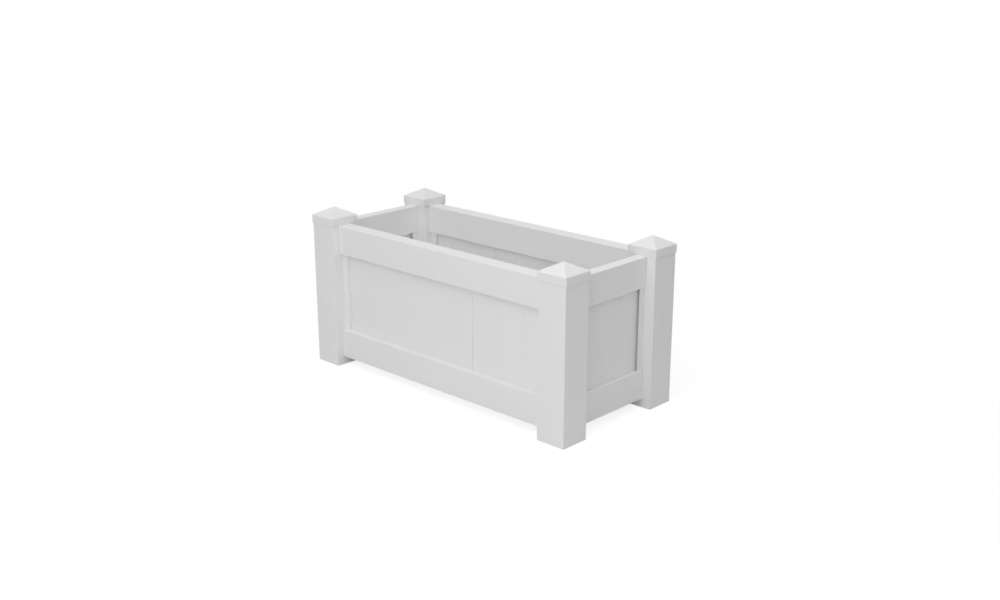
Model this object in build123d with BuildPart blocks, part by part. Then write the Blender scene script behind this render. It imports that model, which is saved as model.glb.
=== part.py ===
from build123d import *
from math import atan, degrees, radians, tan
import os

# Raised planter box of hollow white vinyl. Four square corner posts stand on the ground and are routed for
# pocket rails. Upright tongue-and-groove boards stand in the pockets of the rails, and their outer edges
# are held by channels screwed to the posts. Planks laid across the bottom rails make the floor.
# Lengths are in millimetres. The origin is on the ground under the middle of the box, +X runs along the
# long side, -Y is the front and +Z is up.

# Overall size, over the posts
box_length = 1104.9
box_width = 512.8

# Corner posts
post_size = 101.6
post_wall = 3.8
post_corner_radius = 1.5
post_above_rail = 24.0

# Post caps
cap_wall = 2.2
cap_fit = 0.35
cap_roof = 2.8
cap_rise = 27.5
cap_rail_gap = 0.5
cap_corner_radius = 3.0
cap_edge_radius = 2.5
cap_hip_radius = 2.0
cap_shelf = 6.0
cap_cavity_top = 7.0
cap_lip_chamfer = 0.6

# Rails: the long ones are front and back, the end ones left and right
ground_gap = 28.6
rail_height = 95.3
long_rail_thickness = 50.8
end_rail_thickness = 38.1
rail_wall = 2.5
rail_edge_radius = 1.5
rail_end_gap = 6.35
mortise_play = 0.5
mortise_corner_radius = 2.0
pocket_depth = 12.7
pocket_wall = 2.0

# Upright boards between the rails. The long sides' boards stand a little inside the middle of their rails.
panel_height = 264.8
long_panel_setback = 3.2
board_pitch = 101.6
board_thickness = 12.7
board_skin = 1.6
board_cells = 3
board_fit = 0.3
board_top_play = 3.0
board_joint_gap = 0.2
bevel_width = 3.0
bevel_depth = 0.6
tongue_thickness = 4.0
tongue_length = 6.0
tongue_play = 0.3
tongue_end_play = 0.8

# The boards of a long side are fed in from both ends, and the joint that closes them stays a little open
closing_joint_gap = 0.8
boards_before_closing_joint = 3

# Channels against the posts at the outer edges of each panel: the long sides' have hollow cheeks close to
# the boards, and the end panels' are plain and wider inside
channel_width = 33.0
channel_depth = 25.4
channel_web = 2.0
channel_wall = 1.8
channel_top_play = 0.3

# Floor planks and the beam under them
plank_count = 7
plank_thickness = 19.0
plank_skin = 1.8
plank_cells = 4
plank_edge_radius = 2.0
drain_gap = 6.0
floor_fit = 1.0
beam_width = 38.1
beam_height = 50.8
beam_wall = 2.5
beam_edge_radius = 3.0

# Hangers that carry the beam on the end bottom rails
hanger_sheet = 2.0
hanger_depth = 30.0
hanger_cheek_height = 38.0
hanger_flange = 16.0
hanger_fit = 0.3
hanger_screw_rise = 10.0
hanger_screw_spacing = 16.0

# Screws: flat heads in the channels, pan heads in the hangers
screw_radius = 2.1
screw_length = 14.0
screw_fit = 0.3
flat_head_radius = 3.6
flat_head_depth = 1.5
pan_head_radius = 4.2
pan_head_height = 2.4
channel_screw_count = 2
channel_screw_margin = 40.0

# Heights, from the ground up
bottom_rail_top = ground_gap + rail_height
top_rail_bottom = bottom_rail_top + panel_height
top_rail_top = top_rail_bottom + rail_height
post_height = top_rail_top + post_above_rail
cap_bottom = top_rail_top + cap_rail_gap
cap_base = post_height + cap_roof
bottom_rail_middle = ground_gap + rail_height / 2
top_rail_middle = top_rail_bottom + rail_height / 2

# Centre lines of the posts and of the long panels, and the clear runs between posts
post_x = (box_length - post_size) / 2
post_y = (box_width - post_size) / 2
long_panel_y = post_y - long_panel_setback
clear_length = box_length - 2 * post_size
clear_width = box_width - 2 * post_size

pocket_width = board_thickness + 2 * board_fit

# Each side: name, start of its panel at ground level, direction of its run, clear run, rail thickness,
# thickness of the rails that cross its own inside the posts, how far its rails' middle lies outside its
# boards', boards before the closing joint, and the slot of its channels. A run starts at the right-hand
# post, as seen from outside.
wide_slot = channel_width - 2 * channel_wall
long_side = (
    clear_length, long_rail_thickness, end_rail_thickness, long_panel_setback, boards_before_closing_joint,
    pocket_width,
)
end_side = (clear_width, end_rail_thickness, long_rail_thickness, 0, 0, wide_slot)
sides = [
    ("front", (clear_length / 2, -long_panel_y), (-1, 0), *long_side),
    ("back", (-clear_length / 2, long_panel_y), (1, 0), *long_side),
    ("right", (post_x, clear_width / 2), (0, -1), *end_side),
    ("left", (-post_x, -clear_width / 2), (0, 1), *end_side),
]
corners = [
    ("front_left", -1, -1),
    ("front_right", 1, -1),
    ("back_right", 1, 1),
    ("back_left", -1, 1),
]

first_screw_height = bottom_rail_top + channel_screw_margin
last_screw_height = top_rail_bottom - channel_screw_margin
screw_step = (last_screw_height - first_screw_height) / (channel_screw_count - 1)
channel_screw_heights = [first_screw_height + i * screw_step for i in range(channel_screw_count)]

os.makedirs("parts", exist_ok=True)


def save(piece: BuildPart, name: str) -> None:
    """Labels a finished piece and writes it to its own STEP file."""
    piece.part.label = name
    export_step(piece.part, f"parts/{name}.step")


def side_plane(start: tuple, run: tuple) -> Plane:
    """Ground plane of one side: local x along its run, local y out of the box."""
    return Plane(origin=(start[0], start[1], 0), x_dir=(run[0], run[1], 0), z_dir=(0, 0, 1))


def across_run(side: Plane, distance: float, height: float) -> Plane:
    """Plane square to a side's run: local x out of the box, local y up, facing along the run."""
    origin = side.from_local_coords((distance, 0, height))
    return Plane(origin=origin, x_dir=side.y_dir, z_dir=side.x_dir)


def rail_section(thickness: float, setback: float, pocket_side: int) -> None:
    """Draws a rail's hollow section around its board pocket, which opens at the top (1) or bottom (-1)."""
    pocket_floor = rail_height / 2 - pocket_depth
    with Locations((setback, 0)):
        RectangleRounded(thickness, rail_height, rail_edge_radius)
        Rectangle(thickness - 2 * rail_wall, rail_height - 2 * rail_wall, mode=Mode.SUBTRACT)
    with Locations((0, pocket_side * (pocket_floor - pocket_wall + (pocket_depth + pocket_wall) / 2))):
        Rectangle(pocket_width + 2 * pocket_wall, pocket_depth + pocket_wall)
    with Locations((0, pocket_side * (pocket_floor + pocket_depth / 2))):
        Rectangle(pocket_width, pocket_depth, mode=Mode.SUBTRACT)


def board_section() -> None:
    """Draws a whole board's hollow section: groove at local x 0, tongue at the far edge, bevels on both."""
    face = board_pitch - board_joint_gap
    groove = tongue_thickness + 2 * tongue_play
    groove_depth = tongue_length + tongue_end_play
    half = board_thickness / 2
    with BuildLine() as outline:
        Polyline(
            (groove_depth, 0),
            (groove_depth, groove / 2),
            (0, groove / 2),
            (0, half - bevel_depth),
            (bevel_width, half),
            (face - bevel_width, half),
            (face, half - bevel_depth),
            (face, tongue_thickness / 2),
            (face + tongue_length, tongue_thickness / 2),
            (face + tongue_length, 0),
        )
        mirror(about=Plane.XZ)
    make_face(outline.edges())
    first_cell = groove_depth + board_skin
    cell_pitch = (face - first_cell) / board_cells
    cell_width = cell_pitch - board_skin
    for cell in range(board_cells):
        with Locations((first_cell + cell * cell_pitch + cell_width / 2, 0)):
            Rectangle(cell_width, board_thickness - 2 * board_skin, mode=Mode.SUBTRACT)


def channel_section(slot: float) -> None:
    """Draws a channel's section: web at local x 0, slot for the boards, cheeks hollow where thick enough."""
    cheek = (channel_width - slot) / 2
    slot_depth = channel_depth - channel_web
    Rectangle(channel_depth, channel_width, align=(Align.MIN, Align.CENTER))
    with Locations((channel_web, 0)):
        Rectangle(slot_depth, slot, align=(Align.MIN, Align.CENTER), mode=Mode.SUBTRACT)
    if cheek > 3 * channel_wall:
        with Locations(*[(channel_depth / 2, cheek_side * (slot + cheek) / 2) for cheek_side in (1, -1)]):
            Rectangle(channel_depth - 2 * channel_wall, cheek - 2 * channel_wall, mode=Mode.SUBTRACT)


def board_places(run: float, closing_after: int) -> list[float]:
    """Where each board of a run starts; an edge that already stands in the channel needs no further board."""
    held_depth = (channel_depth - channel_web) / 2
    starts = [0.0]
    while run - (starts[-1] + board_pitch) > held_depth:
        gap = closing_joint_gap if len(starts) == closing_after else 0.0
        starts.append(starts[-1] + board_pitch + gap)
    return starts


# Corner posts: open square tubes with a routed mortise for each rail and pilot holes for the channel screws
mortise_height = rail_height + mortise_play
for corner, x_sign, y_sign in corners:
    with BuildPart() as post:
        with BuildSketch(Plane((x_sign * post_x, y_sign * post_y, 0))):
            RectangleRounded(post_size, post_size, post_corner_radius)
            Rectangle(post_size - 2 * post_wall, post_size - 2 * post_wall, mode=Mode.SUBTRACT)
        extrude(amount=post_height)
        long_face = (x_sign * clear_length / 2, y_sign * post_y, 0)
        end_face = (x_sign * post_x, y_sign * clear_width / 2, 0)
        faces_with_rails = (
            (Plane(long_face, x_dir=(0, y_sign, 0), z_dir=(y_sign, 0, 0)), long_rail_thickness,
             -long_panel_setback),
            (Plane(end_face, x_dir=(-1, 0, 0), z_dir=(0, 1, 0)), end_rail_thickness, 0),
        )
        for face_plane, rail_thickness, screw_line in faces_with_rails:
            with BuildSketch(face_plane):
                for rail_bottom in (ground_gap, top_rail_bottom):
                    with Locations((0, rail_bottom + mortise_height / 2)):
                        RectangleRounded(
                            rail_thickness + 2 * mortise_play, mortise_height, mortise_corner_radius
                        )
                with Locations(*[(screw_line, height) for height in channel_screw_heights]):
                    Circle(screw_radius + screw_fit)
            extrude(amount=2 * post_wall, both=True, mode=Mode.SUBTRACT)
    save(post, f"post_{corner}")

# Post caps: a thin skirt outside the post and a low hollow pyramid whose shelf rests on the post's end
cap_size = post_size + 2 * (cap_fit + cap_wall)
cap_slope = degrees(atan(cap_rise / (cap_size / 2)))
cavity_base = post_size - 2 * cap_shelf
cavity_rise = (cavity_base - cap_cavity_top) / 2 * tan(radians(cap_slope))
gable_planes = (
    ((1, 0, 0), (0, -1, 0), Mode.ADD),
    ((0, 1, 0), (1, 0, 0), Mode.INTERSECT),
)
for corner, x_sign, y_sign in corners:
    centre = (x_sign * post_x, y_sign * post_y)
    with BuildPart() as cap:
        for across, facing, mode in gable_planes:
            with BuildSketch(Plane((*centre, 0), x_dir=across, z_dir=facing)) as gable:
                with BuildLine():
                    Polyline(
                        (-cap_size / 2, cap_bottom),
                        (cap_size / 2, cap_bottom),
                        (cap_size / 2, cap_base),
                        (0, cap_base + cap_rise),
                        (-cap_size / 2, cap_base),
                        close=True,
                    )
                make_face()
                fillet(gable.vertices().group_by(Axis.Y)[1], cap_edge_radius)
            extrude(amount=cap_size / 2, both=True, mode=mode)
        with BuildSketch(Plane((*centre, cap_bottom))):
            RectangleRounded(cap_size, cap_size, cap_corner_radius)
        extrude(amount=cap_base + cap_rise - cap_bottom, mode=Mode.INTERSECT)
        straight_edges = cap.edges().filter_by(GeomType.LINE)
        hips = straight_edges.filter_by(lambda edge: 0.1 < abs((edge % 0.5).Z) < 0.9)
        fillet(hips, cap_hip_radius)
        with BuildSketch(Plane((*centre, cap_bottom))):
            Rectangle(post_size + 2 * cap_fit, post_size + 2 * cap_fit)
        extrude(amount=post_height - cap_bottom, mode=Mode.SUBTRACT)
        with BuildSketch(Plane((*centre, post_height))):
            Rectangle(cavity_base, cavity_base)
        extrude(amount=cavity_rise, taper=90 - cap_slope, mode=Mode.SUBTRACT)
        chamfer(cap.faces().sort_by(Axis.Z)[0].outer_wire().edges(), cap_lip_chamfer)
    save(cap, f"post_cap_{corner}")

# The pan-head screw of the hangers and the flat-head screw of the channels, each along its own Z axis,
# with the underside or the flat of the head at the origin and the shank down
with BuildPart() as pan_screw:
    with BuildSketch(Plane.XZ):
        with BuildLine():
            Polyline(
                (0, pan_head_height),
                (pan_head_radius, pan_head_height),
                (pan_head_radius, 0),
                (screw_radius, 0),
                (screw_radius, -screw_length),
                (0, -screw_length),
                close=True,
            )
        make_face()
    revolve(axis=Axis.Z)
with BuildPart() as flat_screw:
    with BuildSketch(Plane.XZ):
        with BuildLine():
            Polyline(
                (0, 0),
                (flat_head_radius, 0),
                (screw_radius, -flat_head_depth),
                (screw_radius, -screw_length),
                (0, -screw_length),
                close=True,
            )
        make_face()
    revolve(axis=Axis.Z)

# Where the beam's hangers are screwed to an end bottom rail, across the run and up from the beam's underside
hanger_inside = beam_width + 2 * hanger_fit
hanger_screw_reach = hanger_inside / 2 + hanger_sheet + hanger_flange / 2
beam_bottom = bottom_rail_top - beam_height
hanger_screw_heights = [beam_bottom + hanger_screw_rise + i * hanger_screw_spacing for i in range(2)]

# Each side in turn: two rails, two channels and the boards between them
channel_screw_planes = []
for side_name, start, run_direction, clear_run, thickness, crossing, setback, closing_after, slot in sides:
    side = side_plane(start, run_direction)
    rail_seat = (post_size - crossing) / 2 - rail_end_gap
    for rail_name, rail_middle, pocket_side in (
        ("bottom_rail", bottom_rail_middle, 1),
        ("top_rail", top_rail_middle, -1),
    ):
        with BuildPart() as rail:
            with BuildSketch(across_run(side, -rail_seat, rail_middle)):
                rail_section(thickness, setback, pocket_side)
            extrude(amount=clear_run + 2 * rail_seat)
            if rail_name == "bottom_rail" and side_name in ("left", "right"):
                inner_face = Plane(
                    origin=side.from_local_coords((clear_run / 2, -thickness / 2, 0)),
                    x_dir=side.x_dir,
                    z_dir=-side.y_dir,
                )
                with BuildSketch(inner_face):
                    for height in hanger_screw_heights:
                        with Locations((-hanger_screw_reach, height), (hanger_screw_reach, height)):
                            Circle(screw_radius + screw_fit)
                extrude(amount=2 * rail_wall, both=True, mode=Mode.SUBTRACT)
        save(rail, f"{side_name}_{rail_name}")

    # The channel at the start faces along the run, and the one at the end faces back
    for channel_name, end_plane in (
        ("right", side),
        ("left", Plane(side.from_local_coords((clear_run, 0, 0)), x_dir=-side.x_dir, z_dir=(0, 0, 1))),
    ):
        screw_planes = [across_run(end_plane, channel_web, height) for height in channel_screw_heights]
        with BuildPart() as channel:
            with BuildSketch(end_plane.offset(bottom_rail_top)):
                channel_section(slot)
            extrude(amount=panel_height - channel_top_play)
            with Locations(*screw_planes):
                CounterSinkHole(
                    screw_radius + screw_fit,
                    flat_head_radius + screw_fit,
                    depth=2 * channel_web,
                    counter_sink_angle=90,
                )
        save(channel, f"{side_name}_channel_{channel_name}")
        channel_screw_planes.extend(screw_planes)

    # Boards stand on the bottom pocket's floor and reach into the top pocket
    board_run = clear_run - 2 * (channel_web + board_fit)
    board_bottom = bottom_rail_top - pocket_depth
    board_length = panel_height + 2 * pocket_depth - board_top_play
    for number, board_start in enumerate(board_places(board_run, closing_after), start=1):
        first_edge = channel_web + board_fit + board_start
        foot = Plane(side.from_local_coords((first_edge, 0, board_bottom)), x_dir=side.x_dir, z_dir=(0, 0, 1))
        with BuildPart() as board:
            with BuildSketch(foot):
                board_section()
                with Locations((board_run - board_start, 0)):
                    Rectangle(
                        board_pitch, 2 * board_thickness, align=(Align.MIN, Align.CENTER), mode=Mode.SUBTRACT
                    )
            extrude(amount=board_length)
        save(board, f"{side_name}_board_{number}")

with BuildPart() as channel_screws:
    with Locations(*channel_screw_planes):
        add(flat_screw.part)
save(channel_screws, "channel_screws")

# Floor planks lie across the ledges of the long bottom rails with drainage gaps between them, and stop
# short of the posts and channels at the corners
floor_span = 2 * (post_x - board_thickness / 2 - floor_fit)
plank_length = 2 * (long_panel_y - board_thickness / 2 - floor_fit)
plank_pitch = (floor_span + drain_gap) / plank_count
plank_width = plank_pitch - drain_gap
channel_inside = (post_size + channel_width) / 2 + floor_fit
corner_cuts = (
    (post_size + floor_fit, post_size + floor_fit),
    (post_size + channel_depth + floor_fit, channel_inside + long_panel_setback),
    (channel_inside, post_size + channel_depth + floor_fit),
)
box_corners = [(x * box_length / 2, y * box_width / 2, bottom_rail_top) for _, x, y in corners]
cell_pitch = (plank_width - plank_skin) / plank_cells
cell_size = (cell_pitch - plank_skin, plank_thickness - 2 * plank_skin)
for number in range(plank_count):
    plank_x = (number - (plank_count - 1) / 2) * plank_pitch
    with BuildPart() as plank:
        with BuildSketch(Plane.XZ.offset(plank_length / 2)):
            with Locations((plank_x, bottom_rail_top + plank_thickness / 2)):
                RectangleRounded(plank_width, plank_thickness, plank_edge_radius)
                with GridLocations(cell_pitch, 0, plank_cells, 1):
                    Rectangle(*cell_size, mode=Mode.SUBTRACT)
        extrude(amount=-plank_length)
        for reach_x, reach_y in corner_cuts:
            with Locations(*box_corners):
                Box(2 * reach_x, 2 * reach_y, 3 * plank_thickness, mode=Mode.SUBTRACT)
    save(plank, f"floor_plank_{number + 1}")

# Floor beam along the middle, carried at each end by a sheet-metal hanger on the end bottom rail
hanger_back = post_x - end_rail_thickness / 2
beam_end = hanger_back - hanger_sheet - hanger_fit
with BuildPart() as floor_beam:
    with BuildSketch(Plane.YZ.offset(-beam_end)):
        with Locations((0, bottom_rail_top - beam_height / 2)):
            RectangleRounded(beam_width, beam_height, beam_edge_radius)
            Rectangle(beam_width - 2 * beam_wall, beam_height - 2 * beam_wall, mode=Mode.SUBTRACT)
    extrude(amount=2 * beam_end)
save(floor_beam, "floor_beam")

hanger_screw_planes = []
with BuildPart() as beam_hangers:
    for end in (-1, 1):
        back_plane = Plane((end * hanger_back, 0, 0), x_dir=(0, -end, 0), z_dir=(-end, 0, 0))
        cup_width = hanger_inside + 2 * hanger_sheet
        cup_bottom = beam_bottom - hanger_sheet
        cup_height = hanger_cheek_height + hanger_sheet
        with BuildSketch(back_plane):
            with Locations((0, cup_bottom + cup_height / 2)):
                Rectangle(cup_width, cup_height)
            with Locations((0, beam_bottom + cup_height / 2)):
                Rectangle(hanger_inside, cup_height, mode=Mode.SUBTRACT)
        extrude(amount=hanger_depth)
        with BuildSketch(back_plane):
            with Locations((0, cup_bottom + cup_height / 2)):
                Rectangle(cup_width + 2 * hanger_flange, cup_height)
            for height in hanger_screw_heights:
                with Locations((-hanger_screw_reach, height), (hanger_screw_reach, height)):
                    Circle(screw_radius + screw_fit, mode=Mode.SUBTRACT)
        extrude(amount=hanger_sheet)
        for height in hanger_screw_heights:
            for reach in (-hanger_screw_reach, hanger_screw_reach):
                head_seat = back_plane.offset(hanger_sheet).from_local_coords((reach, height, 0))
                hanger_screw_planes.append(Plane(head_seat, x_dir=(0, 1, 0), z_dir=back_plane.z_dir))
save(beam_hangers, "beam_hangers")

with BuildPart() as hanger_screws:
    with Locations(*hanger_screw_planes):
        add(pan_screw.part)
save(hanger_screws, "hanger_screws")
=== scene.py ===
"""Dresses the raised planter box in vinyl and steel, details its screws and lights a studio."""

import logging
import math
from dataclasses import dataclass, field
from enum import Enum

import bmesh
import bpy
from mathutils import Matrix, Vector


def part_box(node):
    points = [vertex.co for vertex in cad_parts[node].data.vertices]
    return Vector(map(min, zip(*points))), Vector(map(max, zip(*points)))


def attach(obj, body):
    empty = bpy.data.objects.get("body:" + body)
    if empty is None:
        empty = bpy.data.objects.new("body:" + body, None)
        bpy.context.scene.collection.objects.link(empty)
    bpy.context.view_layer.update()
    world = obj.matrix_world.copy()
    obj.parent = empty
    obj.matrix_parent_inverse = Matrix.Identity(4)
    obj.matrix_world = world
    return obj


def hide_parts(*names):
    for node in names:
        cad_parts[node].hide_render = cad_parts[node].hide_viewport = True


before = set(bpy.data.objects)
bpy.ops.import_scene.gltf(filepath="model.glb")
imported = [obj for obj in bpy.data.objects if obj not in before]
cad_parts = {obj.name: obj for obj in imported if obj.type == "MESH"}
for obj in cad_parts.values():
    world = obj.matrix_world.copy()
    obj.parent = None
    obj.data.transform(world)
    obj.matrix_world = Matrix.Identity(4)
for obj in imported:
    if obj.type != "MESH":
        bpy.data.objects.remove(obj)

LOG = logging.getLogger("planter_box")
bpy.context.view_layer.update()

Triple = tuple[float, float, float]
Tree = bpy.types.NodeTree
Socket = bpy.types.NodeSocket

EVEN: Triple = (1.0, 1.0, 1.0)
NOISE_RANGE = (0.3, 0.7)
TINT_STOPS = (0.35, 0.65)
FLAT_NORMAL = 0.99
SAME_HEIGHT = 1e-6


class Run(Enum):
    """The direction in which a vinyl profile left its die, as the scale of its pattern."""

    ALONG_X = (0.0, 1.0, 1.0)
    ALONG_Y = (1.0, 0.0, 1.0)
    UPRIGHT = (1.0, 1.0, 0.0)
    MOULDED = (1.0, 1.0, 1.0)


def start_material(name: str) -> tuple[bpy.types.Material, Tree, Socket]:
    """Starts a material with nothing but its output.

    Args:
        name: The material's name.

    Returns:
        The material, its node tree and the output's surface socket.
    """
    material = bpy.data.materials.new(name)
    material.use_nodes = True
    tree = material.node_tree
    tree.nodes.clear()
    output = tree.nodes.new("ShaderNodeOutputMaterial")
    return material, tree, output.inputs["Surface"]


def start_finish(name: str) -> tuple[bpy.types.Material, Tree, bpy.types.Node]:
    """Starts a material with nothing but its output and a Principled shader.

    Args:
        name: The material's name.

    Returns:
        The material, its node tree and its shader.
    """
    material, tree, surface = start_material(name)
    shader = tree.nodes.new("ShaderNodeBsdfPrincipled")
    tree.links.new(shader.outputs["BSDF"], surface)
    return material, tree, shader


def add_noise(tree: Tree, stretch: Triple, scale: float, detail: float) -> Socket:
    """Adds a noise over the piece's own coordinates.

    Args:
        tree: The node tree to add to.
        stretch: The coordinates' scale along X, Y and Z, where a low value draws the noise out.
        scale: The noise's scale, in features per metre.
        detail: The noise's detail.

    Returns:
        The noise's value.
    """
    coordinates = tree.nodes.new("ShaderNodeTexCoord")
    mapping = tree.nodes.new("ShaderNodeMapping")
    mapping.inputs["Scale"].default_value = stretch
    noise = tree.nodes.new("ShaderNodeTexNoise")
    noise.inputs["Scale"].default_value = scale
    noise.inputs["Detail"].default_value = detail
    tree.links.new(coordinates.outputs["Object"], mapping.inputs["Vector"])
    tree.links.new(mapping.outputs["Vector"], noise.inputs["Vector"])
    return noise.outputs["Fac"]


def add_range(tree: Tree, value: Socket, low: float, high: float) -> Socket:
    """Maps the middle range of a noise onto another range.

    Args:
        tree: The node tree to add to.
        value: The noise's value.
        low: The result at the low end of the noise's middle range.
        high: The result at the high end.

    Returns:
        The mapped value.
    """
    node = tree.nodes.new("ShaderNodeMapRange")
    node.inputs["From Min"].default_value, node.inputs["From Max"].default_value = NOISE_RANGE
    node.inputs["To Min"].default_value = low
    node.inputs["To Max"].default_value = high
    tree.links.new(value, node.inputs["Value"])
    return node.outputs["Result"]


def add_tint(tree: Tree, value: Socket, dark: Triple, light: Triple) -> Socket:
    """Blends two near colours by a value.

    Args:
        tree: The node tree to add to.
        value: The value to blend by.
        dark: The colour where the value is low.
        light: The colour where the value is high.

    Returns:
        The blended colour.
    """
    ramp = tree.nodes.new("ShaderNodeValToRGB")
    for element, stop, colour in zip(ramp.color_ramp.elements, TINT_STOPS, (dark, light)):
        element.position = stop
        element.color = (*colour, 1.0)
    tree.links.new(value, ramp.inputs["Fac"])
    return ramp.outputs["Color"]


def add_bump(
    tree: Tree, shader: bpy.types.Node, height: Socket, distance: float, strength: float
) -> None:
    """Bumps a shader's surface.

    Args:
        tree: The node tree to add to.
        shader: The shader whose surface is bumped.
        height: The height of the surface, from 0 to 1.
        distance: How far a height of 1 stands out, in metres.
        strength: The share of the bump that shows.
    """
    bump = tree.nodes.new("ShaderNodeBump")
    bump.inputs["Distance"].default_value = distance
    bump.inputs["Strength"].default_value = strength
    tree.links.new(height, bump.inputs["Height"])
    tree.links.new(bump.outputs["Normal"], shader.inputs["Normal"])


def add_paint(tree: Tree, level: float) -> Socket:
    """Adds a matt grey paint.

    Args:
        tree: The node tree to add to.
        level: The paint's level, from 0 for black to 1 for white.

    Returns:
        The paint's shader.
    """
    paint = tree.nodes.new("ShaderNodeBsdfDiffuse")
    paint.inputs["Color"].default_value = (level, level, level, 1.0)
    return paint.outputs["BSDF"]


def add_glow(tree: Tree, strength: float) -> Socket:
    """Adds a white glow.

    Args:
        tree: The node tree to add to.
        strength: The glow's strength, where 1 shows as white.

    Returns:
        The glow's shader.
    """
    glow = tree.nodes.new("ShaderNodeEmission")
    glow.inputs["Strength"].default_value = strength
    return glow.outputs["Emission"]


def add_mix(tree: Tree, share: Socket, first: Socket, second: Socket) -> Socket:
    """Mixes two shaders.

    Args:
        tree: The node tree to add to.
        share: The share of the second shader.
        first: The first shader.
        second: The second shader.

    Returns:
        The mixed shader.
    """
    mix = tree.nodes.new("ShaderNodeMixShader")
    tree.links.new(share, mix.inputs["Fac"])
    tree.links.new(first, mix.inputs[1])
    tree.links.new(second, mix.inputs[2])
    return mix.outputs["Shader"]


def add_seen_rays(tree: Tree) -> Socket:
    """Adds a value that is 1 for what the camera, a reflection or a view through glass sees.

    Args:
        tree: The node tree to add to.

    Returns:
        The value.
    """
    path = tree.nodes.new("ShaderNodeLightPath")
    total = path.outputs["Is Camera Ray"]
    for ray in ("Is Glossy Ray", "Is Transmission Ray"):
        larger = tree.nodes.new("ShaderNodeMath")
        larger.operation = "MAXIMUM"
        tree.links.new(total, larger.inputs[0])
        tree.links.new(path.outputs[ray], larger.inputs[1])
        total = larger.outputs["Value"]
    return total


@dataclass(frozen=True)
class WhiteVinyl:
    """Smooth white vinyl, with faint die lines along the profile and a slightly uneven sheen."""

    run: Run
    light: Triple = (0.90, 0.90, 0.90)
    dark: Triple = (0.892, 0.892, 0.892)
    sheen_low: float = 0.42
    sheen_high: float = 0.50
    mottle_scale: float = 9.0
    mottle_detail: float = 3.0
    line_scale: float = 260.0
    line_detail: float = 2.0
    line_stretch: float = 0.012
    line_height: float = 0.0002
    line_strength: float = 0.02
    refraction: float = 1.5

    def make(self) -> bpy.types.Material:
        """Builds the finish.

        Returns:
            The finish's material.
        """
        material, tree, shader = start_finish(f"white_vinyl_{self.run.name.lower()}")
        along = tuple(max(part, self.line_stretch) for part in self.run.value)
        mottle = add_noise(tree, along, self.mottle_scale, self.mottle_detail)
        lines = add_noise(tree, along, self.line_scale, self.line_detail)
        tint = add_tint(tree, mottle, self.dark, self.light)
        sheen = add_range(tree, lines, self.sheen_low, self.sheen_high)
        tree.links.new(tint, shader.inputs["Base Color"])
        tree.links.new(sheen, shader.inputs["Roughness"])
        add_bump(tree, shader, lines, self.line_height, self.line_strength)
        shader.inputs["IOR"].default_value = self.refraction
        return material


@dataclass(frozen=True)
class GalvanisedSheet:
    """Zinc-coated sheet steel with its faint crystal pattern."""

    light: Triple = (0.62, 0.64, 0.66)
    dark: Triple = (0.55, 0.57, 0.59)
    sheen_low: float = 0.32
    sheen_high: float = 0.48
    crystal_scale: float = 140.0
    grain_scale: float = 90.0
    grain_detail: float = 3.0
    grain_height: float = 0.0004
    grain_strength: float = 0.1

    def make(self) -> bpy.types.Material:
        """Builds the finish.

        Returns:
            The finish's material.
        """
        material, tree, shader = start_finish("galvanised_sheet")
        coordinates = tree.nodes.new("ShaderNodeTexCoord")
        crystals = tree.nodes.new("ShaderNodeTexVoronoi")
        crystals.inputs["Scale"].default_value = self.crystal_scale
        tree.links.new(coordinates.outputs["Object"], crystals.inputs["Vector"])
        tone = tree.nodes.new("ShaderNodeRGBToBW")
        tree.links.new(crystals.outputs["Color"], tone.inputs["Color"])
        tint = add_tint(tree, tone.outputs["Val"], self.dark, self.light)
        sheen = add_range(tree, tone.outputs["Val"], self.sheen_low, self.sheen_high)
        tree.links.new(tint, shader.inputs["Base Color"])
        tree.links.new(sheen, shader.inputs["Roughness"])
        shader.inputs["Metallic"].default_value = 1.0
        grain = add_noise(tree, EVEN, self.grain_scale, self.grain_detail)
        add_bump(tree, shader, grain, self.grain_height, self.grain_strength)
        return material


@dataclass(frozen=True)
class ScrewSteel:
    """Stainless screw steel with fine turning marks."""

    light: Triple = (0.66, 0.65, 0.63)
    dark: Triple = (0.58, 0.57, 0.56)
    sheen_low: float = 0.24
    sheen_high: float = 0.36
    mark_scale: float = 5200.0
    mark_detail: float = 2.0
    mark_height: float = 0.00004
    mark_strength: float = 0.08

    def make(self) -> bpy.types.Material:
        """Builds the finish.

        Returns:
            The finish's material.
        """
        material, tree, shader = start_finish("screw_steel")
        marks = add_noise(tree, EVEN, self.mark_scale, self.mark_detail)
        tint = add_tint(tree, marks, self.dark, self.light)
        sheen = add_range(tree, marks, self.sheen_low, self.sheen_high)
        tree.links.new(tint, shader.inputs["Base Color"])
        tree.links.new(sheen, shader.inputs["Roughness"])
        shader.inputs["Metallic"].default_value = 1.0
        add_bump(tree, shader, marks, self.mark_height, self.mark_strength)
        return material


@dataclass(frozen=True)
class Lamp:
    """A square soft lamp, with its place, aim and side in metres and its power in watts."""

    name: str
    place: Triple
    aim: Triple
    size: float
    power: float

    def hang(self) -> None:
        """Hangs the lamp in the scene."""
        data = bpy.data.lights.new(self.name, "AREA")
        data.size = self.size
        data.energy = self.power
        lamp = bpy.data.objects.new(self.name, data)
        lamp.location = self.place
        beam = Vector(self.aim) - Vector(self.place)
        lamp.rotation_euler = beam.to_track_quat("-Z", "Y").to_euler()
        bpy.context.scene.collection.objects.link(lamp)


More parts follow.
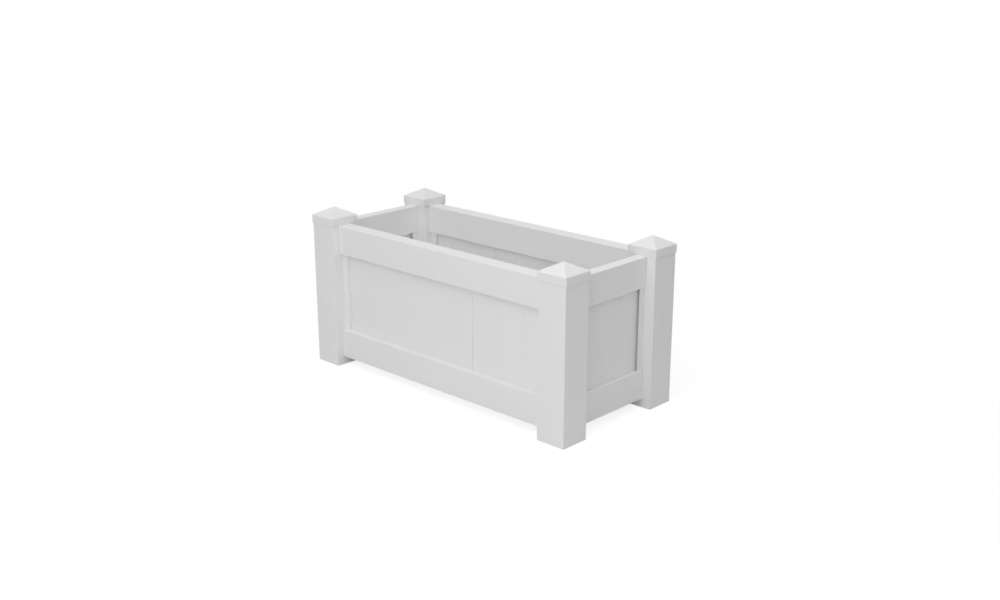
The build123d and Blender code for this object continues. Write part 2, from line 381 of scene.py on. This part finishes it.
BOX_FOOT: Triple = (0.0, 0.0, 0.0)
BOX_MIDDLE: Triple = (0.0, 0.0, 0.25)
STUDIO_LAMPS = (
    Lamp("top_lamp", (0.0, 0.0, 3.4), BOX_FOOT, 3.0, 19.3),
    Lamp("front_lamp", (0.6, -3.4, 2.2), BOX_MIDDLE, 2.4, 20.3),
    Lamp("near_lamp", (2.4, -3.0, 2.0), BOX_MIDDLE, 1.6, 18.9),
    Lamp("left_lamp", (-3.0, -1.5, 2.0), BOX_MIDDLE, 2.4, 2.3),
    Lamp("high_right_lamp", (2.2, 0.3, 3.6), BOX_MIDDLE, 2.0, 17.0),
    Lamp("high_front_lamp", (0.4, -2.2, 3.6), BOX_MIDDLE, 2.0, 26.0),
)


@dataclass
class Studio:
    """A pale floor, soft lamps and the camera that took the picture.

    Places are in metres, angles in degrees, and the lens and sensor in millimetres.
    """

    eye: Triple = (2.5916, -2.6774, 1.4285)
    azimuth: float = 43.3722
    elevation: float = 17.2340
    lens: float = 43.419
    sensor: float = 36.0
    sky_strength: float = 0.275
    shown_sky: float = 1.0
    floor_size: float = 120.0
    floor_bounce: float = 0.8
    shown_paint: float = 0.3
    shown_glow: float = 0.82
    white_glow: float = 1.0
    shadow_reach: float = 1.0
    white_from: float = 1.7

    def place_camera(self) -> None:
        """Places the camera at the picture's point of view."""
        data = bpy.data.cameras.new("camera")
        data.lens = self.lens
        data.sensor_width = self.sensor
        camera = bpy.data.objects.new("camera", data)
        camera.location = self.eye
        camera.rotation_euler = (math.radians(90 - self.elevation), 0.0, math.radians(self.azimuth))
        bpy.context.scene.collection.objects.link(camera)
        bpy.context.scene.camera = camera

    def light_room(self) -> None:
        """Lights the room with an even sky, which is seen as white, and with soft lamps."""
        world = bpy.data.worlds.new("room")
        world.use_nodes = True
        bpy.context.scene.world = world
        tree = world.node_tree
        lit = tree.nodes["Background"]
        seen = tree.nodes.new("ShaderNodeBackground")
        for sky, strength in ((lit, self.sky_strength), (seen, self.shown_sky)):
            sky.inputs["Color"].default_value = (1.0, 1.0, 1.0, 1.0)
            sky.inputs["Strength"].default_value = strength
        mix = add_mix(
            tree, add_seen_rays(tree), lit.outputs["Background"], seen.outputs["Background"]
        )
        tree.links.new(mix, tree.nodes["World Output"].inputs["Surface"])
        for lamp in STUDIO_LAMPS:
            lamp.hang()

    def lay_floor(self) -> None:
        """Lays the floor, which keeps the box's shadow near it and is plain white further out."""
        bpy.ops.object.select_all(action="DESELECT")
        bpy.ops.mesh.primitive_plane_add(size=self.floor_size, location=(0.0, 0.0, 0.0))
        floor = bpy.context.object
        floor.name = "floor"
        material, tree, surface = start_material("floor")
        near = tree.nodes.new("ShaderNodeAddShader")
        tree.links.new(add_paint(tree, self.shown_paint), near.inputs[0])
        tree.links.new(add_glow(tree, self.shown_glow), near.inputs[1])
        coordinates = tree.nodes.new("ShaderNodeTexCoord")
        distance = tree.nodes.new("ShaderNodeVectorMath")
        distance.operation = "LENGTH"
        reach = tree.nodes.new("ShaderNodeMapRange")
        reach.inputs["From Min"].default_value = self.shadow_reach
        reach.inputs["From Max"].default_value = self.white_from
        tree.links.new(coordinates.outputs["Object"], distance.inputs["Vector"])
        tree.links.new(distance.outputs["Value"], reach.inputs["Value"])
        white = add_glow(tree, self.white_glow)
        shown = add_mix(tree, reach.outputs["Result"], near.outputs["Shader"], white)
        bounce = add_paint(tree, self.floor_bounce)
        tree.links.new(add_mix(tree, add_seen_rays(tree), bounce, shown), surface)
        floor.data.materials.append(material)


@dataclass(frozen=True)
class Screw:
    """A steel screw with a domed or flat head, a square drive socket and a threaded shank.

    It is modelled on its own Z axis with the point down. The surface that it is driven into is at
    the origin, so a domed head stands above the origin and a flat head is sunk below it.
    """

    name: str
    head_radius: float
    head_height: float
    sunk: bool
    shank_radius: float = 0.0021
    core_radius: float = 0.0016
    length: float = 0.014
    point_length: float = 0.003
    point_share: float = 0.12
    thread_pitch: float = 0.0014
    root_from: float = 0.35
    root_to: float = 0.65
    socket_width: float = 0.0026
    socket_depth: float = 0.0013
    socket_taper: float = 0.8
    rim_bevel: float = 0.0011
    rim_segments: int = 5
    facets: int = 40
    smooth_angle: float = 35.0

    def ring(self, radius: float, height: float) -> None:
        """Extrudes the selected end of the shank to a further ring.

        Args:
            radius: The ring's radius.
            height: The ring's height.
        """
        mesh = bmesh.from_edit_mesh(bpy.context.object.data)
        chosen = [vertex.co.copy() for vertex in mesh.verts if vertex.select]
        now_height = sum(place.z for place in chosen) / len(chosen)
        now_radius = sum(place.xy.length for place in chosen) / len(chosen)
        step = (0.0, 0.0, height - now_height)
        bpy.ops.mesh.extrude_region_move(TRANSFORM_OT_translate={"value": step})
        self.scale_end(radius / now_radius, height)

    def scale_end(self, share: float, height: float) -> None:
        """Scales the selected end about the axis, at the given height."""
        centre = (0.0, 0.0, height)
        bpy.ops.transform.resize(value=(share, share, 1.0), center_override=centre)

    def select_end(self, upward: bool) -> None:
        """Selects the flat face at one end of a shape in edit mode.

        Args:
            upward: Whether it is the topmost face, not the lowest.
        """
        bpy.ops.mesh.select_mode(type="FACE")
        bpy.ops.mesh.select_all(action="DESELECT")
        mesh = bmesh.from_edit_mesh(bpy.context.object.data)
        flat = [face for face in mesh.faces if abs(face.normal.z) > FLAT_NORMAL]
        height = (max if upward else min)(face.calc_center_median().z for face in flat)
        for face in flat:
            face.select = abs(face.calc_center_median().z - height) < SAME_HEIGHT
        bmesh.update_edit_mesh(bpy.context.object.data)

    def thread(self, bottom: float) -> None:
        """Draws the threaded shank and its point out of the head's selected lower face.

        Args:
            bottom: The height of the head's lower face.
        """
        thread_end = self.point_length - self.length
        turns = int((bottom - thread_end) / self.thread_pitch)
        step = (thread_end - bottom) / turns
        for turn in range(turns):
            start = bottom + turn * step
            self.ring(self.core_radius, start + self.root_from * step)
            self.ring(self.core_radius, start + self.root_to * step)
            self.ring(self.shank_radius, start + step)
        self.ring(self.core_radius * self.point_share, -self.length)

    def model(self) -> bpy.types.Object:
        """Models one screw.

        Returns:
            The screw.
        """
        top = 0.0 if self.sunk else self.head_height
        bottom = -self.head_height if self.sunk else 0.0
        bpy.ops.object.select_all(action="DESELECT")
        bpy.ops.mesh.primitive_cylinder_add(
            vertices=self.facets, radius=self.head_radius, depth=self.head_height,
            location=(0.0, 0.0, (top + bottom) / 2)
        )
        screw = bpy.context.object
        bpy.ops.object.transform_apply(location=True, rotation=True, scale=True)
        bpy.ops.object.mode_set(mode="EDIT")
        self.select_end(upward=False)
        if self.sunk:
            self.scale_end(self.shank_radius / self.head_radius, bottom)
        else:
            bpy.ops.mesh.inset(thickness=self.head_radius - self.shank_radius, depth=0.0)
        self.thread(bottom)
        if not self.sunk:
            self.select_end(upward=True)
            bpy.ops.mesh.bevel(offset=self.rim_bevel, segments=self.rim_segments, affect="EDGES")
        bpy.ops.object.mode_set(mode="OBJECT")
        self.cut_socket(screw, top)
        bpy.ops.object.shade_smooth_by_angle(angle=math.radians(self.smooth_angle))
        return screw

    def cut_socket(self, screw: bpy.types.Object, top: float) -> None:
        """Cuts the square drive socket into the head.

        Args:
            screw: The screw.
            top: The height of the head's top.
        """
        bpy.ops.object.select_all(action="DESELECT")
        bpy.ops.mesh.primitive_cube_add(size=1.0, location=(0.0, 0.0, top))
        cutter = bpy.context.object
        cutter.scale = (self.socket_width, self.socket_width, 2 * self.socket_depth)
        bpy.ops.object.transform_apply(location=True, rotation=True, scale=True)
        bpy.ops.object.mode_set(mode="EDIT")
        self.select_end(upward=False)
        self.scale_end(self.socket_taper, top - self.socket_depth)
        bpy.ops.object.mode_set(mode="OBJECT")
        bpy.ops.object.select_all(action="DESELECT")
        screw.select_set(True)
        bpy.context.view_layer.objects.active = screw
        cut = screw.modifiers.new("socket", "BOOLEAN")
        cut.object = cutter
        cut.operation = "DIFFERENCE"
        bpy.ops.object.modifier_apply(modifier=cut.name)
        bpy.data.objects.remove(cutter)

    def drive(self, places: list[Matrix], finish: bpy.types.Material, node: str) -> None:
        """Drives a copy of the screw at each place, as one piece that stands for a CAD node.

        Args:
            places: Where each screw goes: its axis, and the surface that it is driven into.
            finish: The screws' material.
            node: The CAD node that the screws stand for.
        """
        first = self.model()
        first.data.materials.append(finish)
        copies = [first]
        for _ in places[1:]:
            copy = first.copy()
            copy.data = first.data.copy()
            bpy.context.scene.collection.objects.link(copy)
            copies.append(copy)
        bpy.ops.object.select_all(action="DESELECT")
        for copy, place in zip(copies, places):
            copy.data.transform(place)
            copy.select_set(True)
        bpy.context.view_layer.objects.active = first
        bpy.ops.object.join()
        first.name = self.name
        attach(first, "root")
        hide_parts(node)
        LOG.info("drove %d of %s", len(places), self.name)


@dataclass
class Fastenings:
    """The screws of the board channels and of the beam's hangers, placed from the frame."""

    channel_web: float = 0.002
    channel_screw: Screw = Screw("channel_screw_set", 0.0036, 0.0015, sunk=True)
    hanger_screw: Screw = Screw("hanger_screw_set", 0.0042, 0.0024, sunk=False)

    def facing(self, seat: Triple, toward: Triple) -> Matrix:
        """Turns and moves a screw so that its head faces a direction from its seat."""
        turn = Vector(toward).to_track_quat("Z", "Y")
        return Matrix.Translation(seat) @ turn.to_matrix().to_4x4()

    def channel_places(self) -> list[Matrix]:
        """Works out where the channels' screws go, with each head towards the boards.

        Returns:
            The place of each screw, of which each channel has a lower and an upper one.
        """
        low, high = (Vector(corner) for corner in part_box("channel_screws"))
        post_low, post_high = (Vector(corner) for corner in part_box("post_front_right"))
        radius = self.channel_screw.head_radius
        end_x = high.x - radius
        long_y = high.y - radius
        long_seat = post_low.x - self.channel_web
        end_seat = -post_high.y - self.channel_web
        places = []
        for height in (low.z + radius, high.z - radius):
            for side_x in (-1, 1):
                for side_y in (-1, 1):
                    in_long_side = (side_x * long_seat, side_y * long_y, height)
                    in_end = (side_x * end_x, side_y * end_seat, height)
                    places.append(self.facing(in_long_side, (-side_x, 0, 0)))
                    places.append(self.facing(in_end, (0, -side_y, 0)))
        return places

    def hanger_places(self) -> list[Matrix]:
        """Works out where the hangers' screws go, with each head towards the middle of the box.

        Returns:
            The place of each screw, of which each hanger has four.
        """
        low, high = (Vector(corner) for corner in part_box("hanger_screws"))
        radius = self.hanger_screw.head_radius
        seat = high.x - self.hanger_screw.length
        return [
            self.facing((side_x * seat, across, height), (-side_x, 0, 0))
            for side_x in (-1, 1)
            for across in (low.y + radius, high.y - radius)
            for height in (low.z + radius, high.z - radius)
        ]

    def build(self) -> None:
        """Makes both sets of screws."""
        steel = ScrewSteel().make()
        self.channel_screw.drive(self.channel_places(), steel, "channel_screws")
        self.hanger_screw.drive(self.hanger_places(), steel, "hanger_screws")


@dataclass
class PlanterBox:
    """The planter box's own pieces, dressed in their finishes."""

    finishes: dict[Run, bpy.types.Material] = field(default_factory=dict)

    def run_of(self, node: str) -> Run:
        """Tells which way a vinyl piece was extruded.

        Args:
            node: The piece's name.

        Returns:
            The direction of its profile's run.
        """
        if "cap" in node:
            return Run.MOULDED
        if "plank" in node:
            return Run.ALONG_Y
        if "rail" in node:
            return Run.ALONG_X if node.startswith(("front", "back")) else Run.ALONG_Y
        if "beam" in node:
            return Run.ALONG_X
        return Run.UPRIGHT

    def dress(self) -> None:
        """Gives every piece its finish, apart from the screws, which the scene makes."""
        sheet = GalvanisedSheet().make()
        for run in Run:
            self.finishes[run] = WhiteVinyl(run).make()
        for name, piece in sorted(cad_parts.items()):
            if name.endswith("screws"):
                continue
            finish = sheet if name == "beam_hangers" else self.finishes[self.run_of(name)]
            for slot in piece.material_slots:
                slot.material = finish
            LOG.info("dressed %s in %s", name, finish.name)


def main() -> None:
    """Builds the scene in order."""
    logging.basicConfig(level=logging.INFO)
    bpy.context.scene.view_settings.view_transform = "Standard"
    studio = Studio()
    studio.place_camera()
    studio.light_room()
    studio.lay_floor()
    PlanterBox().dress()
    Fastenings().build()


if __name__ == "__main__":
    main()
